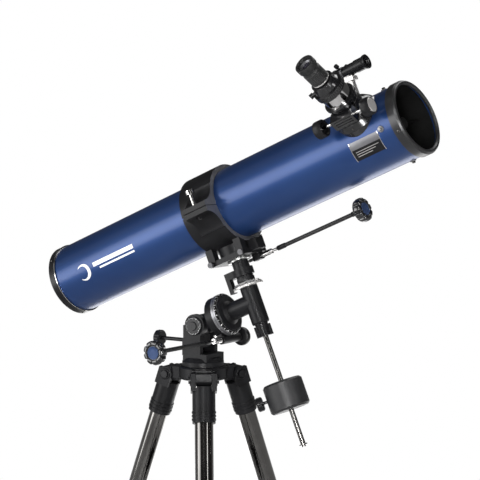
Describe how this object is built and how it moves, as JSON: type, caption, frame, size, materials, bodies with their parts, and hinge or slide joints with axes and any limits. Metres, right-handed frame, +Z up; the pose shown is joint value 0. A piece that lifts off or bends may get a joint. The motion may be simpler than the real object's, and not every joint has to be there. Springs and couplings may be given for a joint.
{
  "type": "newtonian reflector telescope",
  "caption": "Reflector telescope with a blue tube in a hinged cradle on a german equatorial mount with counterweight and slow-motion cables, on an adjustable steel tripod.",
  "frame": {"origin": "on the floor, on the azimuth axis of the mount", "axes": "+Z up, +X the way the polar axis and the tube point, +Y the side away from the eyepiece"},
  "size_m": [0.866, 0.568, 1.3318],
  "materials": {
    "black_casting": "satin black paint on die-cast metal",
    "chrome": "polished chrome",
    "steel": "brushed",
    "black_plastic": "satin black moulding",
    "black_tube_steel": "black paint",
    "circle_metal": "satin grey with light figures",
    "brass": "turned",
    "painted_iron": "black paint on cast iron",
    "blue_tube": "glossy metallic blue",
    "drawtube_chrome": "polished chrome",
    "mirror_glass": "front-silvered glass",
    "lens_glass": "clear"
  },
  "bodies": {
    "tripod_head": {"tripod_hub": "black_casting", "leg_pivot_bolts": "chrome"},
    "azimuth_lock": {"azimuth_lock_knob": "black_plastic"},
    "leg_1": {"leg_1_castings": "black_casting", "leg_1_tube": "chrome"},
    "leg_1_lower": {"leg_1_extension": "black_tube_steel"},
    "leg_1_lock": {"leg_1_lock_knob": "black_plastic"},
    "brace_1": {"brace_1": "black_casting"},
    "leg_2": {"leg_2_castings": "black_casting", "leg_2_tube": "chrome"},
    "leg_2_lower": {"leg_2_extension": "black_tube_steel"},
    "leg_2_lock": {"leg_2_lock_knob": "black_plastic"},
    "brace_2": {"brace_2": "black_casting"},
    "leg_3": {"leg_3_castings": "black_casting", "leg_3_tube": "chrome"},
    "leg_3_lower": {"leg_3_extension": "black_tube_steel"},
    "leg_3_lock": {"leg_3_lock_knob": "black_plastic"},
    "brace_3": {"brace_3": "black_casting"},
    "spreader": {"spreader_tray": "black_casting"},
    "azimuth": {"azimuth_base": "black_casting", "latitude_pivot": "black_plastic"},
    "latitude_screw": {"latitude_bolt": "black_plastic"},
    "polar": {"polar_housing": "black_casting"},
    "ra_circle": {"ra_setting_circle": "circle_metal"},
    "ra_worm_line": {"ra_worm": "black_plastic", "ra_slow_motion": "black_plastic"},
    "ra_axis": {"ra_shaft_wheel": "brass", "dec_housing": "black_casting", "dec_tangent_arm": "black_casting"},
    "dec_circle": {"dec_setting_circle": "circle_metal"},
    "dec_axis": {"dec_shaft": "steel", "saddle": "black_casting", "saddle_screws": "chrome", "cradle_bed": "black_casting", "cradle_hinge_pin": "chrome", "shaft_lock_nut": "black_plastic", "counterweight_shaft": "chrome"},
    "dec_screw": {"dec_slow_motion": "black_plastic"},
    "weight": {"counterweight": "painted_iron"},
    "weight_lock": {"counterweight_knob": "black_plastic"},
    "cap": {"cradle_cap": "black_casting"},
    "cap_screw": {"cradle_clamp_screw": "chrome"},
    "tube": {"optical_tube": "blue_tube", "front_ring": "black_plastic", "rear_ring": "black_plastic", "mirror_cell": "black_plastic", "collimation_screws": "chrome", "primary_mirror": "mirror_glass", "spider": "black_tube_steel", "secondary_mirror": "mirror_glass", "focuser_base": "black_plastic", "finder_bracket": "chrome", "finder_tube": "black_plastic", "finder_lenses": "lens_glass"},
    "drawtube": {"drawtube": "drawtube_chrome", "eyepiece_adapter": "black_plastic"},
    "focus_knobs": {"focuser_pinion": "black_plastic"},
    "eyepiece": {"eyepiece_body": "black_plastic", "eyepiece_lenses": "lens_glass"},
    "eyepiece_lock": {"eyepiece_screw": "black_plastic"}
  },
  "joints": [
    {"name": "azimuth_lock_turn", "type": "hinge", "parent": "tripod_head", "child": "azimuth_lock", "pos_m": [0, 0, 0.6905], "axis": [0, 0, 1], "continuous": true},
    {"name": "leg_1_fold", "type": "hinge", "parent": "tripod_head", "child": "leg_1", "pos_m": [0.04311, -0.05891, 0.7015], "axis": [0.807, 0.5906, 0], "range_deg": [0, 16]},
    {"name": "leg_1_length", "type": "slide", "parent": "leg_1", "child": "leg_1_lower", "axis": [-0.1923, 0.2627, 0.9455], "range_m": [-0.3, 0.085]},
    {"name": "leg_1_lock_turn", "type": "hinge", "parent": "leg_1", "child": "leg_1_lock", "pos_m": [0.17139, -0.23418, 0.16287], "axis": [0.5584, -0.763, 0.3256], "continuous": true},
    {"name": "brace_1_fold", "type": "hinge", "parent": "leg_1", "child": "brace_1", "pos_m": [0.09093, -0.12424, 0.38036], "axis": [0.807, 0.5906, 0], "range_deg": [0, 44.41]},
    {"name": "leg_2_fold", "type": "hinge", "parent": "tripod_head", "child": "leg_2", "pos_m": [0.02946, 0.06679, 0.7015], "axis": [-0.915, 0.4035, 0], "range_deg": [0, 16]},
    {"name": "leg_2_length", "type": "slide", "parent": "leg_2", "child": "leg_2_lower", "axis": [-0.1314, -0.2979, 0.9455], "range_m": [-0.3, 0.085]},
    {"name": "leg_2_lock_turn", "type": "hinge", "parent": "leg_2", "child": "leg_2_lock", "pos_m": [0.11711, 0.26552, 0.16287], "axis": [0.3816, 0.8651, 0.3256], "continuous": true},
    {"name": "brace_2_fold", "type": "hinge", "parent": "leg_2", "child": "brace_2", "pos_m": [0.06213, 0.14087, 0.38036], "axis": [-0.915, 0.4035, 0], "range_deg": [0, 44.41]},
    {"name": "leg_3_fold", "type": "hinge", "parent": "tripod_head", "child": "leg_3", "pos_m": [-0.07257, -0.00788, 0.7015], "axis": [0.108, -0.9942, 0], "range_deg": [0, 16]},
    {"name": "leg_3_length", "type": "slide", "parent": "leg_3", "child": "leg_3_lower", "axis": [0.3237, 0.0352, 0.9455], "range_m": [-0.3, 0.085]},
    {"name": "leg_3_lock_turn", "type": "hinge", "parent": "leg_3", "child": "leg_3_lock", "pos_m": [-0.2885, -0.03134, 0.16287], "axis": [-0.94, -0.1021, 0.3256], "continuous": true},
    {"name": "brace_3_fold", "type": "hinge", "parent": "leg_3", "child": "brace_3", "pos_m": [-0.15306, -0.01663, 0.38036], "axis": [0.108, -0.9942, 0], "range_deg": [0, 44.41]},
    {"name": "spreader_rise", "type": "slide", "parent": "tripod_head", "child": "spreader", "axis": [0, 0, 1], "range_m": [0, 0.0719]},
    {"name": "azimuth_turn", "type": "hinge", "parent": "tripod_head", "child": "azimuth", "pos_m": [0, 0, 0.7305], "axis": [0, 0, 1], "continuous": true},
    {"name": "latitude_screw_travel", "type": "slide", "parent": "azimuth", "child": "latitude_screw", "axis": [1, 0, 0], "range_m": [-0.0058, 0.016]},
    {"name": "latitude_tilt", "type": "hinge", "parent": "azimuth", "child": "polar", "pos_m": [0, 0, 0.8019], "axis": [0, -1, 0], "range_deg": [-10, 28]},
    {"name": "ra_circle_turn", "type": "hinge", "parent": "polar", "child": "ra_circle", "pos_m": [0.05514, 0, 0.82557], "axis": [0.9189, 0, 0.3944], "continuous": true},
    {"name": "ra_worm_turn", "type": "hinge", "parent": "polar", "child": "ra_worm_line", "pos_m": [0.06041, 0, 0.77777], "axis": [0, 1, 0], "continuous": true},
    {"name": "ra_turn", "type": "hinge", "parent": "polar", "child": "ra_axis", "pos_m": [0.05514, 0, 0.82557], "axis": [0.9189, 0, 0.3944], "range_deg": [-95, 55]},
    {"name": "dec_circle_turn", "type": "hinge", "parent": "ra_axis", "child": "dec_circle", "pos_m": [0.10722, 0, 0.88601], "axis": [-0.3944, 0, 0.9189], "continuous": true},
    {"name": "dec_turn", "type": "hinge", "parent": "ra_axis", "child": "dec_axis", "pos_m": [0.12102, 0, 0.85385], "axis": [-0.3944, 0, 0.9189], "continuous": true},
    {"name": "dec_screw_turn", "type": "hinge", "parent": "dec_axis", "child": "dec_screw", "pos_m": [0.12951, 0.024, 0.94563], "axis": [0.9189, 0, 0.3944], "continuous": true},
    {"name": "counterweight_travel", "type": "slide", "parent": "dec_axis", "child": "weight", "axis": [-0.3944, 0, 0.9189], "range_m": [-0.068, 0.09]},
    {"name": "counterweight_lock_turn", "type": "hinge", "parent": "weight", "child": "weight_lock", "pos_m": [0.15676, -0.025, 0.66079], "axis": [-0.7958, -0.5, -0.3416], "continuous": true},
    {"name": "cradle_open", "type": "hinge", "parent": "dec_axis", "child": "cap", "pos_m": [0.05501, 0.098, 1.03554], "axis": [-0.9189, 0, -0.3944], "range_deg": [0, 110]},
    {"name": "cradle_screw_turn", "type": "hinge", "parent": "cap", "child": "cap_screw", "pos_m": [0.04161, -0.091, 1.05155], "axis": [-0.3944, 0, 0.9189], "continuous": true},
    {"name": "tube_roll", "type": "hinge", "parent": "dec_axis", "child": "tube", "pos_m": [0.0449, 0, 1.0312], "axis": [0.9189, 0, 0.3944], "continuous": true},
    {"name": "focus_travel", "type": "slide", "parent": "tube", "child": "drawtube", "axis": [-0.2535, -0.766, 0.5907], "range_m": [-0.0215, 0.03]},
    {"name": "focus_knob_turn", "type": "hinge", "parent": "tube", "child": "focus_knobs", "pos_m": [0.3838, -0.09821, 1.2152], "axis": [0.9189, 0, 0.3944], "range_deg": [-240, 335]},
    {"name": "eyepiece_pull", "type": "slide", "parent": "drawtube", "child": "eyepiece", "axis": [-0.2535, -0.766, 0.5907], "range_m": [0, 0.035]},
    {"name": "eyepiece_screw_turn", "type": "hinge", "parent": "drawtube", "child": "eyepiece_lock", "pos_m": [0.34221, -0.13332, 1.26018], "axis": [-0.5794, -0.3687, -0.7269], "continuous": true}
  ],
  "couplings": [
    {"joint": "brace_1_fold", "follows": "leg_1_fold", "ratio": 2.775},
    {"joint": "leg_2_fold", "follows": "leg_1_fold", "ratio": 1},
    {"joint": "brace_2_fold", "follows": "leg_1_fold", "ratio": 2.775},
    {"joint": "leg_3_fold", "follows": "leg_1_fold", "ratio": 1},
    {"joint": "brace_3_fold", "follows": "leg_1_fold", "ratio": 2.775},
    {"joint": "spreader_rise", "follows": "leg_1_fold", "m_per_rad": 0.25704},
    {"joint": "latitude_screw_travel", "follows": "latitude_tilt", "m_per_rad": 0.0325},
    {"joint": "ra_worm_turn", "follows": "ra_turn", "ratio": 60},
    {"joint": "focus_knob_turn", "follows": "focus_travel", "rad_per_m": 192}
  ]
}
